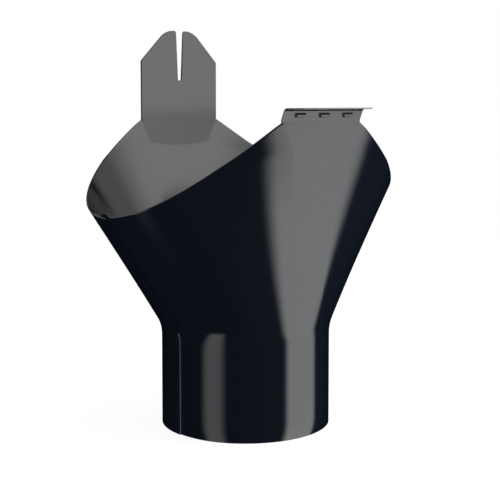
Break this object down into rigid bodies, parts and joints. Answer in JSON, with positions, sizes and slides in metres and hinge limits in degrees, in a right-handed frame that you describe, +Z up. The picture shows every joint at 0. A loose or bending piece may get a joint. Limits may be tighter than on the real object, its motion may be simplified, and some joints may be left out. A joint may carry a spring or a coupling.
{
  "type": "gutter outlet",
  "caption": "Folded sheet steel outlet for a half-round gutter: a saddle-shaped mouth with a front lip and a slit rear tab leads down a funnel into a round spigot for a downpipe.",
  "frame": {"origin": "Centre of the spigot's lower rim, so the outlet stands on Z = 0.", "axes": "+X runs along the gutter, -Y looks to the gutter's front bead, +Y to the wall of the house, +Z up. The downpipe goes on from below."},
  "size_m": [0.1992, 0.1375, 0.2315],
  "materials": {
    "coated_steel": "satin black coil coating on steel sheet"
  },
  "bodies": {
    "root": {"outlet_body": "coated_steel"}
  },
  "joints": []
}
